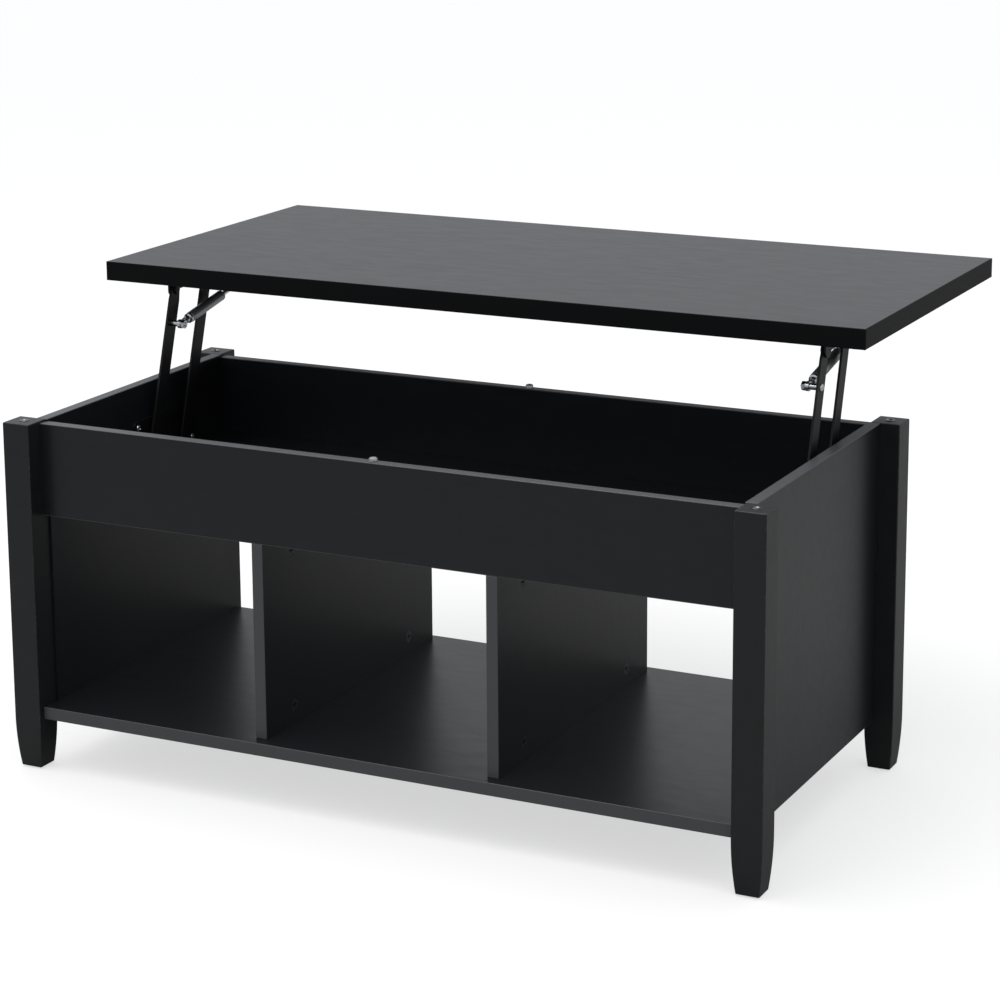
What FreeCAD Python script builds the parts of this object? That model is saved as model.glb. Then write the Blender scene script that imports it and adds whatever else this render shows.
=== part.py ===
import FreeCAD, Part
import math
import os

# Lift-top coffee table, standing on the floor, with its top raised.
# X runs along the table's length, -Y is the front, +Z is up.
# The origin is on the floor under the middle of the base. Millimetres.

V = FreeCAD.Vector
ORIGIN = V(0, 0, 0)
X_AXIS = V(1, 0, 0)
Y_AXIS = V(0, 1, 0)
Z_AXIS = V(0, 0, 1)
SIDES = (("left", -1), ("right", 1))
ENDS = (("front", -1), ("rear", 1))
CORNERS = [(side, end) for _, side in SIDES for _, end in ENDS]
PAST = 1.0  # how far a cutting shape runs past the face that it cuts
TOUCH = 1e-6  # two places nearer than this are the same place

# ---- driving dimensions -------------------------------------------------
TOP_WIDTH = 1041.0
TOP_DEPTH = 495.0
TOP_THICK = 25.0

BASE_WIDTH = 1006.0
BASE_DEPTH = 486.0
LEG_HEIGHT = 448.0
LEG_SIZE = 38.0
LEG_FOOT_SIZE = 29.0
LEG_TAPER_HEIGHT = 70.0
GLIDE_HEIGHT = 2.0

BOARD = 15.0
PANEL_INSET = 25.0
PANEL_BOTTOM = 66.0
APRON_INSET = 25.0
APRON_BOTTOM = 327.5
APRON_TOP = 445.0
SHELF_BOTTOM = 66.0
SHELF_THICK = 16.0
SHELF_INSET = 9.0
DIVIDER_CENTRE_X = 157.0

# Lift linkage, in the side view (Y, Z): the top moves back and up.
LIFT_BACK = 268.0
LIFT_UP = 128.5
ARM_RAISED_DEG = 73.0
PIVOT_BELOW_TOP = 16.0
FRONT_PIVOT_CLOSED_Y = -191.5
ARM_SPACING = 75.0
ARM_WIDTH = 22.0
ARM_TIP_RADIUS = 10.5
ARM_THICK = 3.0
ARM_INNER_X = 449.5
PLATE = 2.5
GAP = 0.3
PIN_RADIUS = 4.0
PIN_CLEARANCE = 0.08
OPEN_PIVOT_CLEARANCE = 0.3

# Gas strut, inboard of the arms.
STRUT_X = 436.0
STRUT_ON_ARM = 45.0
STRUT_END_BACK = 200.0
STRUT_END_DROP = 1.0
TUBE_RADIUS = 7.0
TUBE_START = 23.0
TUBE_END = 104.0
ROD_RADIUS = 3.0
EYE_RADIUS = 6.0
EYE_WIDTH = 4.0
BOLT_RADIUS = 3.0

# Where the closed top's underside lies above the tops of the legs.
CLOSED_CLEARANCE = 2.5

# ---- derived positions --------------------------------------------------
HALF_W = BASE_WIDTH / 2
HALF_D = BASE_DEPTH / 2
LEG_INNER_X = HALF_W - LEG_SIZE
LEG_INNER_Y = HALF_D - LEG_SIZE
PANEL_OUTER_X = HALF_W - PANEL_INSET
PANEL_INNER_X = PANEL_OUTER_X - BOARD
APRON_OUTER_Y = HALF_D - APRON_INSET
APRON_INNER_Y = APRON_OUTER_Y - BOARD
FLOOR_TOP = APRON_BOTTOM + BOARD
SHELF_TOP = SHELF_BOTTOM + SHELF_THICK
SHELF_HALF_D = HALF_D - SHELF_INSET

ARM_OUTER_X = ARM_INNER_X + ARM_THICK
TOP_CLOSED_Z = LEG_HEIGHT + CLOSED_CLEARANCE
TOP_UNDER_Z = TOP_CLOSED_Z + LIFT_UP
RAISED = math.radians(ARM_RAISED_DEG)
CHORD = math.hypot(LIFT_BACK, LIFT_UP)
CHORD_ANGLE = math.atan2(LIFT_UP, LIFT_BACK)
HALF_SWING = math.pi / 2 + CHORD_ANGLE - RAISED
ARM_LENGTH = CHORD / (2 * math.sin(HALF_SWING))

FRONT_TOP = (FRONT_PIVOT_CLOSED_Y + LIFT_BACK, TOP_UNDER_Z - PIVOT_BELOW_TOP)
REAR_TOP = (FRONT_TOP[0] + ARM_SPACING, FRONT_TOP[1])


def along(start, angle, distance):
    return (start[0] + distance * math.cos(angle), start[1] + distance * math.sin(angle))


FRONT_BASE = along(FRONT_TOP, RAISED, -ARM_LENGTH)
REAR_BASE = along(REAR_TOP, RAISED, -ARM_LENGTH)
STRUT_LOW = along(FRONT_TOP, RAISED, -STRUT_ON_ARM)
STRUT_HIGH = (FRONT_TOP[0] + STRUT_END_BACK, FRONT_TOP[1] - STRUT_END_DROP)
STRUT_LENGTH = math.hypot(STRUT_HIGH[0] - STRUT_LOW[0], STRUT_HIGH[1] - STRUT_LOW[1])
STRUT_ANGLE = math.atan2(STRUT_HIGH[1] - STRUT_LOW[1], STRUT_HIGH[0] - STRUT_LOW[0])


# ---- helpers ------------------------------------------------------------
def box(x0, x1, y0, y1, z0, z1):
    return Part.makeBox(abs(x1 - x0), abs(y1 - y0), z1 - z0, V(min(x0, x1), min(y0, y1), z0))


def cylinder_x(x0, x1, radius, yz):
    return Part.makeCylinder(radius, abs(x1 - x0), V(min(x0, x1), yz[0], yz[1]), X_AXIS)


def cylinder_y(y0, y1, radius, x, z):
    return Part.makeCylinder(radius, abs(y1 - y0), V(x, min(y0, y1), z), Y_AXIS)


def cylinder_z(z0, z1, radius, x, y):
    return Part.makeCylinder(radius, z1 - z0, V(x, y, z0), Z_AXIS)


def hexagon_x(x0, x1, across_flats, yz):
    corners = [along(yz, math.radians(60 * i), across_flats / math.sqrt(3)) for i in range(6)]
    return plate_x(x0, x1, corners)


def straight_edges(shape):
    return [e for e in shape.Edges if isinstance(e.Curve, Part.Line)]


def rounded(shape, direction, radius):
    """Round every straight edge that runs along the direction."""
    edges = [e for e in straight_edges(shape) if abs(abs(e.Curve.Direction.dot(direction)) - 1) < TOUCH]
    return shape.makeFillet(radius, edges)


def softened(shape, size):
    """A small chamfer on every straight edge, as a router leaves it."""
    return shape.makeChamfer(size, straight_edges(shape))


def plate_x(x0, x1, outline):
    """A flat plate of constant X, from its closed (y, z) outline."""
    points = [V(x0, y, z) for y, z in outline]
    return Part.Face(Part.makePolygon(points + points[:1])).extrude(V(x1 - x0, 0, 0))


def drilled(shape, holes):
    for hole in holes:
        shape = shape.cut(hole)
    return shape


def group(solids):
    return Part.makeCompound(list(solids))


def save(node, shape):
    shape.exportStep("parts/" + node + ".step")


os.makedirs("parts", exist_ok=True)

# ---- dowels that join the boards to the legs ----------------------------
DOWEL_RADIUS = 4.0
DOWEL_REACH = 14.0
PANEL_DOWEL_HEIGHTS = (110.0, 250.0, 400.0)
APRON_DOWEL_HEIGHTS = (352.0, 420.0)
SHELF_DOWEL_Y = 220.0


def dowel_into_end(x, end, z):
    """A dowel from a side panel into the front or rear leg beside it."""
    near = end * (LEG_INNER_Y - DOWEL_REACH)
    far = end * (LEG_INNER_Y + DOWEL_REACH)
    return cylinder_y(near, far, DOWEL_RADIUS, x, z)


def dowel_into_side(side, y, z):
    """A dowel from an apron or the shelf into the leg at its left or right end."""
    near = side * (LEG_INNER_X - DOWEL_REACH)
    far = side * (LEG_INNER_X + DOWEL_REACH)
    return cylinder_x(near, far, DOWEL_RADIUS, (y, z))


def panel_dowels():
    x = (PANEL_OUTER_X + PANEL_INNER_X) / 2
    return [dowel_into_end(side * x, end, z) for side, end in CORNERS for z in PANEL_DOWEL_HEIGHTS]


def apron_dowels():
    y = (APRON_OUTER_Y + APRON_INNER_Y) / 2
    return [dowel_into_side(side, end * y, z) for side, end in CORNERS for z in APRON_DOWEL_HEIGHTS]


def shelf_dowels():
    z = (SHELF_BOTTOM + SHELF_TOP) / 2
    return [dowel_into_side(side, end * SHELF_DOWEL_Y, z) for side, end in CORNERS]


DOWELS = panel_dowels() + apron_dowels() + shelf_dowels()
save("joint_dowels", group(DOWELS))


# ---- legs, with a threaded insert in each top and a glide under each foot -
INSERT_RADIUS = 6.0
INSERT_BORE = 3.2
INSERT_DEPTH = 12.0
INSERT_PROUD = 0.8
INSERT_FLANGE = 1.0
INSERT_FLOOR = 2.0
LEG_ARRIS = 1.0
GLIDE_RADIUS = 10.0
GLIDE_STEM_RADIUS = 2.5
GLIDE_STEM = 10.0
GLIDE_ROUNDING = 0.8


def leg_centre(side, end):
    return side * (HALF_W - LEG_SIZE / 2), end * (HALF_D - LEG_SIZE / 2)


def leg(side, end):
    """A square post whose four faces curve in towards the foot."""
    x, y = leg_centre(side, end)
    half = LEG_SIZE / 2
    narrowing = half - LEG_FOOT_SIZE / 2
    post = box(x - half, x + half, y - half, y + half, LEG_TAPER_HEIGHT, LEG_HEIGHT)
    curve_radius = (LEG_TAPER_HEIGHT ** 2 + narrowing ** 2) / (2 * narrowing)
    mid_z = LEG_TAPER_HEIGHT / 2
    mid_in = curve_radius - math.sqrt(curve_radius ** 2 - mid_z ** 2)

    def side_profile():
        foot_half = half - narrowing
        low_l = V(-foot_half, 0, GLIDE_HEIGHT)
        low_r = V(foot_half, 0, GLIDE_HEIGHT)
        high_l = V(-half, 0, LEG_TAPER_HEIGHT)
        high_r = V(half, 0, LEG_TAPER_HEIGHT)
        mid_l = V(-half + mid_in, 0, mid_z)
        mid_r = V(half - mid_in, 0, mid_z)
        edges = [Part.makeLine(low_l, low_r), Part.Arc(low_r, mid_r, high_r).toShape(),
                 Part.makeLine(high_r, high_l), Part.Arc(high_l, mid_l, low_l).toShape()]
        return Part.Face(Part.Wire(edges))

    across_x = side_profile()
    across_x.translate(V(0, -half, 0))
    across_x = across_x.extrude(V(0, LEG_SIZE, 0))
    across_y = across_x.copy()
    across_y.rotate(ORIGIN, Z_AXIS, 90)
    foot = across_x.common(across_y)
    foot.translate(V(x, y, 0))
    solid = rounded(post.fuse(foot).removeSplitter(), Z_AXIS, LEG_ARRIS)
    stem = cylinder_z(0, GLIDE_HEIGHT + GLIDE_STEM, GLIDE_STEM_RADIUS, x, y)
    insert = cylinder_z(LEG_HEIGHT - INSERT_DEPTH, LEG_HEIGHT + PAST, INSERT_RADIUS - INSERT_FLANGE, x, y)
    return drilled(solid, [insert, stem] + DOWELS)


def leg_insert(side, end):
    x, y = leg_centre(side, end)
    body = cylinder_z(LEG_HEIGHT - INSERT_DEPTH, LEG_HEIGHT, INSERT_RADIUS - INSERT_FLANGE, x, y)
    flange = cylinder_z(LEG_HEIGHT, LEG_HEIGHT + INSERT_PROUD, INSERT_RADIUS, x, y)
    bore = cylinder_z(LEG_HEIGHT - INSERT_DEPTH + INSERT_FLOOR, LEG_HEIGHT + 2 * PAST, INSERT_BORE, x, y)
    return body.fuse(flange).cut(bore)


def foot_glide(side, end):
    x, y = leg_centre(side, end)
    pad = cylinder_z(0, GLIDE_HEIGHT, GLIDE_RADIUS, x, y)
    pad = pad.makeFillet(GLIDE_ROUNDING, [e for e in pad.Edges if abs(e.CenterOfMass.z) < TOUCH])
    return pad.fuse(cylinder_z(GLIDE_HEIGHT, GLIDE_HEIGHT + GLIDE_STEM, GLIDE_STEM_RADIUS, x, y))


for end_name, end in ENDS:
    for side_name, side in SIDES:
        save("leg_" + end_name + "_" + side_name, leg(side, end))
save("leg_top_inserts", group(leg_insert(side, end) for side, end in CORNERS))
save("foot_glides", group(foot_glide(side, end) for side, end in CORNERS))


# ---- cam locks and their bolts: they pull the dividers to floor and shelf
CAM_RADIUS = 7.5
CAM_DEPTH = 12.0
CAM_FROM_EDGE = 24.0
CAM_SETBACK = 68.0
CAM_BOLT_RADIUS = 3.5
CAM_BOLT_REACH = 11.0
CAM_BOLT_START = CAM_RADIUS + 0.5
CAM_HOLE_START = CAM_RADIUS - 3.0
CAM_SLOT_DEPTH = 2.0
CAM_SLOT_LENGTH = 10.0
CAM_SLOT_WIDTH = 1.6


def cam_spots():
    """(x of the drilled face, y, z, +1 if the bolt goes up or -1 if it goes down) for each cam."""
    spots = []
    for centre_x in (-DIVIDER_CENTRE_X, DIVIDER_CENTRE_X):
        for end in (-1, 1):
            y = end * (APRON_OUTER_Y - CAM_SETBACK)
            spots.append((centre_x + BOARD / 2, y, APRON_BOTTOM - CAM_FROM_EDGE, 1))
            spots.append((centre_x + BOARD / 2, y, SHELF_TOP + CAM_FROM_EDGE, -1))
    return spots


def cam_lock(face_x, y, z):
    barrel = cam_pocket(face_x, y, z)
    long = CAM_SLOT_LENGTH / 2
    wide = CAM_SLOT_WIDTH / 2
    slot = box(face_x - CAM_SLOT_DEPTH, face_x, y - long, y + long, z - wide, z + wide)
    cross = box(face_x - CAM_SLOT_DEPTH, face_x, y - wide, y + wide, z - long, z + long)
    return drilled(barrel, [slot, cross])


def cam_pocket(face_x, y, z):
    return cylinder_x(face_x - CAM_DEPTH, face_x, CAM_RADIUS, (y, z))


def cam_bolt(face_x, y, z, up, start=CAM_BOLT_START):
    x = face_x - BOARD / 2
    near = z + up * start
    far = z + up * (CAM_FROM_EDGE + CAM_BOLT_REACH)
    return cylinder_z(min(near, far), max(near, far), CAM_BOLT_RADIUS, x, y)


def cam_bolt_hole(face_x, y, z, up):
    """The bolt's hole in the divider opens into the cam's pocket."""
    return cam_bolt(face_x, y, z, up, start=CAM_HOLE_START)


CAM_LOCKS = [cam_lock(face_x, y, z) for face_x, y, z, _ in cam_spots()]
CAM_POCKETS = [cam_pocket(face_x, y, z) for face_x, y, z, _ in cam_spots()]
CAM_BOLTS = [cam_bolt(*spot) for spot in cam_spots()]
CAM_BOLT_HOLES = [cam_bolt_hole(*spot) for spot in cam_spots()]
save("cam_locks", group(CAM_LOCKS))
save("cam_bolts", group(CAM_BOLTS))


# ---- boards of the base -------------------------------------------------
EDGE_BREAK = 0.6


def side_panel(side):
    inner_x = side * PANEL_INNER_X
    outer_x = side * PANEL_OUTER_X
    board = box(inner_x, outer_x, -LEG_INNER_Y, LEG_INNER_Y, PANEL_BOTTOM, LEG_HEIGHT)
    return drilled(board, panel_dowels() + BRACKET_SCREW_HOLES)


def apron(end):
    board = box(-LEG_INNER_X, LEG_INNER_X, end * APRON_INNER_Y, end * APRON_OUTER_Y, APRON_BOTTOM, APRON_TOP)
    relief = [box(side * PANEL_INNER_X, side * (LEG_INNER_X + PAST), end * (APRON_INNER_Y - PAST),
                  end * LEG_INNER_Y, APRON_BOTTOM - PAST, APRON_TOP + PAST) for _, side in SIDES]
    return drilled(board, relief + apron_dowels())


def compartment_floor():
    board = box(-PANEL_INNER_X, PANEL_INNER_X, -APRON_INNER_Y, APRON_INNER_Y, APRON_BOTTOM, FLOOR_TOP)
    return drilled(board, CAM_BOLTS)


def divider(side):
    x = side * DIVIDER_CENTRE_X
    board = box(x - BOARD / 2, x + BOARD / 2, -APRON_OUTER_Y, APRON_OUTER_Y, SHELF_TOP, APRON_BOTTOM)
    return drilled(softened(board, EDGE_BREAK), CAM_POCKETS + CAM_BOLT_HOLES)


def bottom_shelf():
    """The shelf fills the width between the legs, and steps in where the side panels stand."""
    board = box(-LEG_INNER_X, LEG_INNER_X, -SHELF_HALF_D, SHELF_HALF_D, SHELF_BOTTOM, SHELF_TOP)
    board = softened(board, EDGE_BREAK)
    steps = [box(side * PANEL_INNER_X, side * (LEG_INNER_X + PAST), -LEG_INNER_Y, LEG_INNER_Y,
                 SHELF_BOTTOM - PAST, SHELF_TOP + PAST) for _, side in SIDES]
    return drilled(board, steps + shelf_dowels() + CAM_BOLTS)


# ---- base brackets: a plate on each side panel that carries both arms ----
BRACKET_FRONT_REACH = 28.0
BRACKET_REAR_REACH = 44.0
BRACKET_RISE = 48.0
BRACKET_DROP = 9.5
BRACKET_CORNER = 8.0
BRACKET_SCREW_INSET = 9.0
PLATE_INNER_X = PANEL_INNER_X - PLATE
SCREW_RADIUS = 2.0
SCREW_HEAD_RADIUS = 4.2
SCREW_HEAD = 1.8
SCREW_LENGTH = 13.0
SCREW_RECESS_RADIUS = 1.6
SCREW_RECESS = 1.0
PIN_HEAD_RADIUS = 7.0
PIN_HEAD = 2.3
PIN_HEAD_RIM = 0.4
SPACER_RADIUS = 6.5
PEG_ALONG = 40.0

BRACKET_Y = (FRONT_BASE[0] - BRACKET_FRONT_REACH, REAR_BASE[0] + BRACKET_REAR_REACH)
BRACKET_Z = (FRONT_BASE[1] - BRACKET_DROP, FRONT_BASE[1] + BRACKET_RISE)
BRACKET_SCREW_SPOTS = [(y, z)
                       for y in (BRACKET_Y[0] + BRACKET_SCREW_INSET, BRACKET_Y[1] - BRACKET_SCREW_INSET)
                       for z in (BRACKET_Z[0] + BRACKET_SCREW_INSET, BRACKET_Z[1] - BRACKET_SCREW_INSET)]
PEG_START = along(REAR_BASE, RAISED, PEG_ALONG)
PEG_SPOT = along(PEG_START, RAISED - math.pi / 2, ARM_WIDTH / 2 + PIN_RADIUS + GAP)


def screw_x(side, yz):
    """A pan-head screw that holds a bracket to a side panel."""
    head_x = PLATE_INNER_X - SCREW_HEAD
    shank = cylinder_x(side * PLATE_INNER_X, side * (PLATE_INNER_X + SCREW_LENGTH), SCREW_RADIUS, yz)
    head = cylinder_x(side * head_x, side * PLATE_INNER_X, SCREW_HEAD_RADIUS, yz)
    recess = cylinder_x(side * (head_x - PAST), side * (head_x + SCREW_RECESS), SCREW_RECESS_RADIUS, yz)
    return shank.fuse(head).cut(recess)


def screw_hole_x(side, yz):
    return cylinder_x(side * (PLATE_INNER_X - PAST), side * (PLATE_INNER_X + SCREW_LENGTH), SCREW_RADIUS, yz)


BRACKET_SCREW_HOLES = [screw_hole_x(side, spot) for _, side in SIDES for spot in BRACKET_SCREW_SPOTS]


def base_bracket(side):
    outline = [(BRACKET_Y[0], BRACKET_Z[0]), (BRACKET_Y[1], BRACKET_Z[0]),
               (BRACKET_Y[1], BRACKET_Z[1]), (BRACKET_Y[0], BRACKET_Z[1])]
    plate = rounded(plate_x(side * PLATE_INNER_X, side * PANEL_INNER_X, outline), X_AXIS, BRACKET_CORNER)
    pin_holes = [cylinder_x(side * (PLATE_INNER_X - PAST), side * (PANEL_INNER_X + PAST), PIN_RADIUS, spot)
                 for spot in (FRONT_BASE, REAR_BASE, PEG_SPOT)]
    return drilled(plate, pin_holes + BRACKET_SCREW_HOLES)


def domed(head, face_x, radius):
    """Round the edge of a head where it meets its own outer face."""
    return head.makeFillet(radius, [e for e in head.Edges if abs(e.CenterOfMass.x - face_x) < TOUCH])


def pivot_pin(side, yz, outer_x):
    """A rivet: its shaft ends flush in the outer plate and its domed head keeps the arm on."""
    shaft = cylinder_x(side * (ARM_INNER_X - GAP), side * outer_x, PIN_RADIUS, yz)
    face_x = side * (ARM_INNER_X - GAP - PIN_HEAD)
    head = cylinder_x(face_x, side * (ARM_INNER_X - GAP), PIN_HEAD_RADIUS, yz)
    return shaft.fuse(domed(head, face_x, PIN_HEAD - PIN_HEAD_RIM))


def sleeve(side, x0, x1, yz, outer, inner):
    tube = cylinder_x(side * x0, side * x1, outer, yz)
    return tube.cut(cylinder_x(side * (x0 - PAST), side * (x1 + PAST), inner, yz))


def pivot_spacer(side, yz):
    return sleeve(side, ARM_OUTER_X + GAP, PLATE_INNER_X, yz, SPACER_RADIUS, PIN_RADIUS)


def stop_peg(side):
    """The stud that the rear arm leans on when the top is up."""
    return cylinder_x(side * ARM_INNER_X, side * PANEL_INNER_X, PIN_RADIUS, PEG_SPOT)


BASE_PIVOTS = [(side, spot) for _, side in SIDES for spot in (FRONT_BASE, REAR_BASE)]
TOP_PIVOTS = [(side, spot) for _, side in SIDES for spot in (FRONT_TOP, REAR_TOP)]
save("base_pivot_pins", group(pivot_pin(side, spot, PANEL_INNER_X) for side, spot in BASE_PIVOTS))
save("base_pivot_spacers", group(pivot_spacer(side, spot) for side, spot in BASE_PIVOTS))
save("arm_stop_pegs", group(stop_peg(side) for _, side in SIDES))
save("base_bracket_screws", group(screw_x(side, spot) for _, side in SIDES for spot in BRACKET_SCREW_SPOTS))


# ---- the boards and brackets of the base, with every hole in them --------
for end_name, end in ENDS:
    save("apron_" + end_name, apron(end))
for side_name, side in SIDES:
    save("side_panel_" + side_name, side_panel(side))
    save("divider_" + side_name, divider(side))
    save("base_bracket_" + side_name, base_bracket(side))
save("compartment_floor", compartment_floor())
save("bottom_shelf", bottom_shelf())


# ---- lid bumpers: clear pads on the aprons that the closed top lands on ---
BUMPER_RADIUS = 5.0
BUMPER_HEIGHT = TOP_CLOSED_Z - GAP - APRON_TOP
BUMPER_ROUNDING = 2.0


def lid_bumper(y):
    """A pad in the middle of an apron's top edge."""
    pad = cylinder_z(APRON_TOP, APRON_TOP + BUMPER_HEIGHT, BUMPER_RADIUS, 0, y)
    top_edge = [e for e in pad.Edges if abs(e.CenterOfMass.z - APRON_TOP - BUMPER_HEIGHT) < TOUCH]
    return pad.makeFillet(BUMPER_ROUNDING, top_edge)


save("lid_bumpers", group(lid_bumper(end * (APRON_INNER_Y + APRON_OUTER_Y) / 2) for _, end in ENDS))


# ---- the four lifting arms ----------------------------------------------
ARM_NECK = 14.0
ARM_TIP_WIDTH = 14.0


def arm_outline(x):
    """The bar lies along +Y, from its low pivot at the origin, and narrows to a rounded tip at each end."""
    half = ARM_WIDTH / 2
    tip = ARM_TIP_WIDTH / 2
    tip_reach = math.sqrt(ARM_TIP_RADIUS ** 2 - tip ** 2)
    low_end = -tip_reach
    high_end = ARM_LENGTH + tip_reach
    shoulder = ARM_LENGTH - ARM_NECK
    lower_edge = [V(x, low_end, -tip), V(x, ARM_NECK, -half), V(x, shoulder, -half), V(x, high_end, -tip)]
    upper_edge = [V(x, high_end, tip), V(x, shoulder, half), V(x, ARM_NECK, half), V(x, low_end, tip)]
    high_tip = Part.Arc(lower_edge[-1], V(x, ARM_LENGTH + ARM_TIP_RADIUS, 0), upper_edge[0])
    low_tip = Part.Arc(upper_edge[-1], V(x, -ARM_TIP_RADIUS, 0), lower_edge[0])
    lines = [Part.makeLine(a, b) for edge in (lower_edge, upper_edge) for a, b in zip(edge, edge[1:])]
    return Part.Wire(Part.sortEdges(lines + [high_tip.toShape(), low_tip.toShape()])[0])


def arm(side, low, high, high_radius, bolt_holes):
    """A flat bar that leans from its low to its high pivot."""
    bar = Part.Face(arm_outline(side * ARM_INNER_X)).extrude(V(side * ARM_THICK, 0, 0))
    bar.rotate(ORIGIN, X_AXIS, ARM_RAISED_DEG)
    bar.translate(V(0, low[0], low[1]))
    x0 = side * (ARM_INNER_X - PAST)
    x1 = side * (ARM_OUTER_X + PAST)
    holes = [cylinder_x(x0, x1, PIN_RADIUS + PIN_CLEARANCE, low), cylinder_x(x0, x1, high_radius, high)]
    holes += [cylinder_x(x0, x1, BOLT_RADIUS, spot) for spot in bolt_holes]
    return drilled(bar, holes)


for side_name, side in SIDES:
    # The left front arm guides the top, and the other three have a looser top pivot.
    front_hole = PIN_RADIUS + (PIN_CLEARANCE if side_name == "left" else OPEN_PIVOT_CLEARANCE)
    save("front_arm_" + side_name, arm(side, FRONT_BASE, FRONT_TOP, front_hole, [STRUT_LOW]))
    save("rear_arm_" + side_name, arm(side, REAR_BASE, REAR_TOP, PIN_RADIUS + OPEN_PIVOT_CLEARANCE, []))


# ---- gas struts and the bolts that hold them -----------------------------
BOLT_HEAD_RADIUS = 5.0
BOLT_HEAD = 2.5
BOLT_HEAD_RIM = 0.5
SLEEVE_RADIUS = 4.0
WASHER = 0.8
WASHER_RADIUS = 5.6
NUT_FLATS = 10.0
NUT = 4.5
BOLT_TAIL = 1.2
COLLAR_RADIUS = 6.6
COLLAR_LENGTH = 5.0
COLLAR_BEVEL = 1.0
NECK_RADIUS = 4.6
NECK_LENGTH = 6.0
TUBE_WALL = 1.2
TUBE_START_BEVEL = 0.8
TUBE_END_ROLL = 1.5
TUBE_END_WALL = 2.0
ROD_PORT = ROD_RADIUS + 1.0
GLAND_LENGTH = 4.0
GLAND_LIP = 0.6
PISTON_LENGTH = 4.0
EYE_NECK_WIDTH = 8.0
EYE_OVERLAP = 1.0
EYE_INNER_X = STRUT_X - EYE_WIDTH / 2
EYE_OUTER_X = STRUT_X + EYE_WIDTH / 2
EYE_BORE = BOLT_RADIUS + PIN_CLEARANCE
ROD_SOCKET = 14.0
SOCKET_START = STRUT_LENGTH - ROD_SOCKET
SOCKET_MOUTH = 8.0
SOCKET_FLOOR = 5.0
SOCKET_EYE_OVERLAP = 2.0


def strut_bolt(side, yz, head_x):
    """A round-head bolt: the head sits at head_x, and the shank runs inboard through the eye."""
    end_x = EYE_INNER_X - GAP - WASHER - NUT - BOLT_TAIL
    shank = cylinder_x(side * end_x, side * head_x, BOLT_RADIUS, yz)
    face_x = side * (head_x + BOLT_HEAD)
    head = cylinder_x(side * head_x, face_x, BOLT_HEAD_RADIUS, yz)
    return shank.fuse(domed(head, face_x, BOLT_HEAD - BOLT_HEAD_RIM))


def strut_nut(side, yz):
    outer_x = EYE_INNER_X - GAP - WASHER
    nut = hexagon_x(side * (outer_x - NUT), side * outer_x, NUT_FLATS, yz)
    nut = nut.fuse(cylinder_x(side * outer_x, side * (outer_x + WASHER), WASHER_RADIUS, yz))
    bore = cylinder_x(side * (outer_x - NUT - PAST), side * (outer_x + WASHER + PAST), BOLT_RADIUS, yz)
    return nut.cut(bore)


def revolved_on_strut(side, stations):
    """A turned part on the strut's axis, from its (distance, radius) outline."""
    points = [V(0, distance, radius) for distance, radius in stations]
    profile = Part.Face(Part.makePolygon(points + points[:1]))
    solid = profile.revolve(ORIGIN, Y_AXIS, 360)
    solid.rotate(ORIGIN, X_AXIS, math.degrees(STRUT_ANGLE))
    solid.translate(V(side * STRUT_X, STRUT_LOW[0], STRUT_LOW[1]))
    return solid


def eye(side, at, towards):
    """A flat ring on the bolt, with a neck that reaches the given distance along the strut."""
    ring = cylinder_x(side * EYE_INNER_X, side * EYE_OUTER_X, EYE_RADIUS, at)
    wide = EYE_NECK_WIDTH / 2
    neck = box(-EYE_WIDTH / 2, EYE_WIDTH / 2, 0, towards, -wide, wide)
    neck.rotate(ORIGIN, X_AXIS, math.degrees(STRUT_ANGLE))
    neck.translate(V(side * STRUT_X, at[0], at[1]))
    bore = cylinder_x(side * (EYE_INNER_X - PAST), side * (EYE_OUTER_X + PAST), EYE_BORE, at)
    return ring.fuse(neck).cut(bore).removeSplitter()


def strut_end_cap(side):
    """The metal end of the tube: a stepped collar with the eye on it."""
    collar_start = TUBE_START - COLLAR_LENGTH
    neck_start = collar_start - NECK_LENGTH
    collar = revolved_on_strut(side, [
        (neck_start, 0), (neck_start, NECK_RADIUS), (collar_start, NECK_RADIUS),
        (collar_start + COLLAR_BEVEL, COLLAR_RADIUS), (TUBE_START, COLLAR_RADIUS), (TUBE_START, 0)])
    return eye(side, STRUT_LOW, neck_start + EYE_OVERLAP).fuse(collar).removeSplitter()


def strut_tube(side):
    """The cylinder: rolled in a little at both ends, and closed around the rod at the far one."""
    inside = TUBE_RADIUS - TUBE_WALL
    end_wall = TUBE_END - TUBE_END_WALL
    return revolved_on_strut(side, [
        (TUBE_START, inside), (TUBE_START, TUBE_RADIUS - TUBE_START_BEVEL),
        (TUBE_START + TUBE_START_BEVEL, TUBE_RADIUS), (TUBE_END - TUBE_END_ROLL, TUBE_RADIUS),
        (TUBE_END, inside), (TUBE_END, ROD_PORT), (end_wall, ROD_PORT), (end_wall, inside)])


def strut_gland(side):
    """The seal and guide inside the tube's far end, with its lip round the rod."""
    bore = ROD_RADIUS + GAP
    inside = TUBE_RADIUS - TUBE_WALL
    end_wall = TUBE_END - TUBE_END_WALL
    return revolved_on_strut(side, [
        (end_wall - GLAND_LENGTH, bore), (end_wall - GLAND_LENGTH, inside), (end_wall, inside),
        (end_wall, ROD_PORT), (TUBE_END + GLAND_LIP, ROD_PORT), (TUBE_END + GLAND_LIP, bore)])


def strut_rod(side):
    """The rod, with its piston inside the tube."""
    piston_end = TUBE_END - TUBE_END_WALL - GLAND_LENGTH - 1.0
    piston_radius = TUBE_RADIUS - TUBE_WALL - GAP
    return revolved_on_strut(side, [
        (piston_end - PISTON_LENGTH, 0), (piston_end - PISTON_LENGTH, piston_radius),
        (piston_end, piston_radius), (piston_end, ROD_RADIUS), (SOCKET_START, ROD_RADIUS), (SOCKET_START, 0)])


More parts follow.
